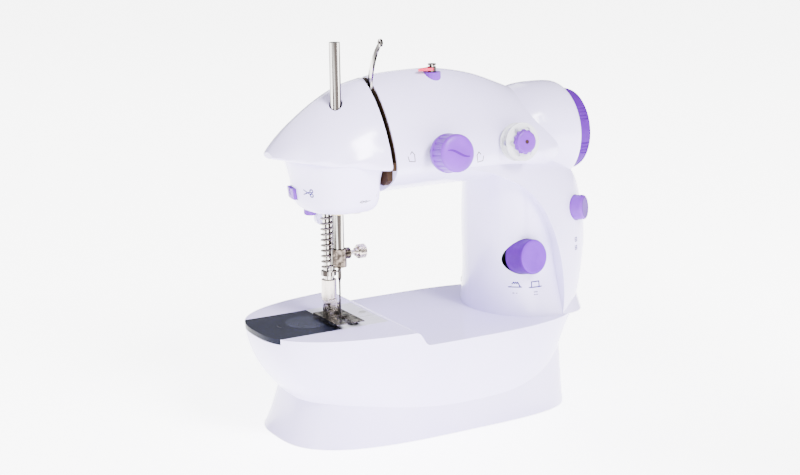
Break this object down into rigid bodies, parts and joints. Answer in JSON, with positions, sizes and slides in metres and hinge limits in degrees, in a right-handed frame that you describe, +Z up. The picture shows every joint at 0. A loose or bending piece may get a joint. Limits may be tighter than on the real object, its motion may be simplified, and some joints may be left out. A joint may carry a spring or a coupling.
{
  "type": "portable sewing machine",
  "caption": "Small domestic sewing machine: boat-shaped bed, bowed column and arm, moving needle and presser bars, take-up lever, sliding bobbin cover, push buttons and handwheel.",
  "frame": {"origin": "centre of the foot's flat underside", "axes": "+X from the head towards the handwheel, +Y towards the back, +Z up"},
  "size_m": [0.1967, 0.1008, 0.2083],
  "materials": {
    "white_plastic": "glossy moulded, faint lavender tint",
    "purple_plastic": "satin moulded",
    "smoky_cover": "glossy smoky translucent",
    "dark_plastic": "matte",
    "pink_plastic": "glossy",
    "clear_plastic": "glossy clear",
    "chrome": "polished",
    "steel": "brushed",
    "spring_steel": "polished wire",
    "brass": "turned",
    "frame_metal": "cast",
    "rubber": "matte",
    "board": "matte",
    "lens": "glossy clear"
  },
  "bodies": {
    "machine": {"bed_shell": "white_plastic", "foot_shell": "white_plastic", "bottom_cover": "white_plastic", "foot_pads": "rubber", "front_casing": "white_plastic", "back_casing": "white_plastic", "head_cover": "white_plastic", "bar_housing": "white_plastic", "take_up_slot_liner": "dark_plastic", "thread_cutter": "purple_plastic", "head_lamp": "lens", "bar_bushes": "brass", "head_frame": "frame_metal", "drive_belt": "rubber", "timing_belt": "rubber", "motor": "steel", "bobbin_case": "dark_plastic", "chassis": "frame_metal", "hook_frame": "frame_metal", "shaft_bushes": "brass", "top_pin_collar": "purple_plastic", "front_posts": "chrome", "tension_discs": "chrome", "switch_board": "board", "power_jack": "dark_plastic", "pedal_jack": "dark_plastic", "needle_plate": "steel", "screws": "steel"},
    "main_drive": {"main_shaft": "chrome", "crank_disc": "steel", "shaft_pulleys": "dark_plastic", "handwheel": "purple_plastic"},
    "motor_rotor": {"motor_rotor": "steel"},
    "hook_shaft": {"lower_shaft": "steel", "hook_drive_gear": "white_plastic"},
    "hook": {"hook": "steel"},
    "bobbin": {"bobbin": "clear_plastic"},
    "needle_bar": {"needle_bar": "chrome", "needle_bar_driver": "steel", "crank_link": "steel", "needle_clamp": "chrome", "needle": "chrome", "needle_thread_guide": "chrome"},
    "clamp_screw": {"needle_clamp_screw": "chrome"},
    "take_up": {"take_up_lever": "chrome"},
    "feed": {"feed_dog": "steel"},
    "presser_bar": {"presser_bar": "chrome", "foot_holder": "chrome", "presser_spring": "spring_steel"},
    "presser_foot": {"presser_foot": "chrome"},
    "lifter": {"presser_lifter": "dark_plastic"},
    "tension_knob": {"tension_knob": "purple_plastic"},
    "front_spool": {"front_spool": "clear_plastic"},
    "spool_cap": {"spool_cap": "purple_plastic"},
    "speed_button": {"speed_button": "purple_plastic"},
    "power_button": {"power_button": "purple_plastic"},
    "lamp_button": {"lamp_button": "purple_plastic"},
    "bobbin_cover": {"bobbin_cover": "smoky_cover"},
    "top_pin": {"top_spool_pin": "chrome", "top_pin_flag": "pink_plastic"}
  },
  "joints": [
    {"name": "handwheel_turn", "type": "hinge", "parent": "machine", "child": "main_drive", "pos_m": [0, 0, 0.1475], "axis": [1, 0, 0], "continuous": true},
    {"name": "motor_spin", "type": "hinge", "parent": "machine", "child": "motor_rotor", "pos_m": [0.06, 0, 0.084], "axis": [1, 0, 0], "continuous": true},
    {"name": "hook_shaft_turn", "type": "hinge", "parent": "machine", "child": "hook_shaft", "pos_m": [0, 0.01, 0.03], "axis": [1, 0, 0], "continuous": true},
    {"name": "hook_turn", "type": "hinge", "parent": "machine", "child": "hook", "pos_m": [-0.063, 0, 0.03], "axis": [0, 0, 1], "continuous": true},
    {"name": "bobbin_spin", "type": "hinge", "parent": "machine", "child": "bobbin", "pos_m": [-0.063, 0, 0.045], "axis": [0, 0, 1], "continuous": true},
    {"name": "needle_stroke", "type": "slide", "parent": "machine", "child": "needle_bar", "axis": [0, 0, -1], "range_m": [0, 0.02]},
    {"name": "clamp_screw_turn", "type": "hinge", "parent": "needle_bar", "child": "clamp_screw", "pos_m": [-0.04, -0.01, 0.0965], "axis": [1, 0, 0], "range_deg": [-180, 180]},
    {"name": "take_up_swing", "type": "hinge", "parent": "machine", "child": "take_up", "pos_m": [-0.027, 0.008, 0.158], "axis": [1, 0, 0], "range_deg": [0, 45]},
    {"name": "feed_stroke", "type": "slide", "parent": "machine", "child": "feed", "axis": [0, 1, 0], "range_m": [0, 0.0015]},
    {"name": "presser_lift", "type": "slide", "parent": "machine", "child": "presser_bar", "axis": [0, 0, 1], "range_m": [0, 0.004], "deforming": ["presser_spring"]},
    {"name": "foot_tilt", "type": "hinge", "parent": "presser_bar", "child": "presser_foot", "pos_m": [-0.048, 0.0005, 0.0654], "axis": [-1, 0, 0], "range_deg": [0, 6]},
    {"name": "lifter_swing", "type": "hinge", "parent": "machine", "child": "lifter", "pos_m": [-0.038, 0.03, 0.131], "axis": [0, 1, 0], "range_deg": [0, 80]},
    {"name": "tension_turn", "type": "hinge", "parent": "machine", "child": "tension_knob", "pos_m": [0.001, -0.0324, 0.1485], "axis": [0, -0.9877, 0.1564], "range_deg": [-150, 150]},
    {"name": "front_spool_spin", "type": "hinge", "parent": "machine", "child": "front_spool", "pos_m": [0.046, -0.0324, 0.15], "axis": [0, -0.9877, 0.1564], "continuous": true},
    {"name": "spool_cap_pull", "type": "slide", "parent": "machine", "child": "spool_cap", "axis": [0, -0.9877, 0.1564], "range_m": [0, 0.012]},
    {"name": "speed_press", "type": "slide", "parent": "machine", "child": "speed_button", "axis": [-0.1545, 0.9755, -0.1564], "range_m": [0, 0.002], "stiffness_N_per_m": 400},
    {"name": "power_press", "type": "slide", "parent": "machine", "child": "power_button", "axis": [-0.6123, 0.7837, -0.1045], "range_m": [0, 0.002], "stiffness_N_per_m": 400},
    {"name": "lamp_press", "type": "slide", "parent": "machine", "child": "lamp_button", "axis": [0, 0, 1], "range_m": [0, 0.0012], "stiffness_N_per_m": 300, "springref_m": -0.0001},
    {"name": "cover_slide", "type": "slide", "parent": "machine", "child": "bobbin_cover", "axis": [-1, 0, 0], "range_m": [0, 0.036]},
    {"name": "top_pin_pull", "type": "slide", "parent": "machine", "child": "top_pin", "axis": [0, 0, 1], "range_m": [0, 0.028]}
  ],
  "couplings": [
    {"joint": "motor_spin", "follows": "handwheel_turn", "ratio": 3.75},
    {"joint": "hook_shaft_turn", "follows": "handwheel_turn", "ratio": 1},
    {"joint": "hook_turn", "follows": "handwheel_turn", "ratio": 2},
    {"joint": "take_up_swing", "follows": "needle_stroke", "rad_per_m": 39.27},
    {"joint": "feed_stroke", "follows": "needle_stroke", "ratio": 0.075},
    {"joint": "lifter_swing", "follows": "presser_lift", "rad_per_m": 349.07}
  ]
}
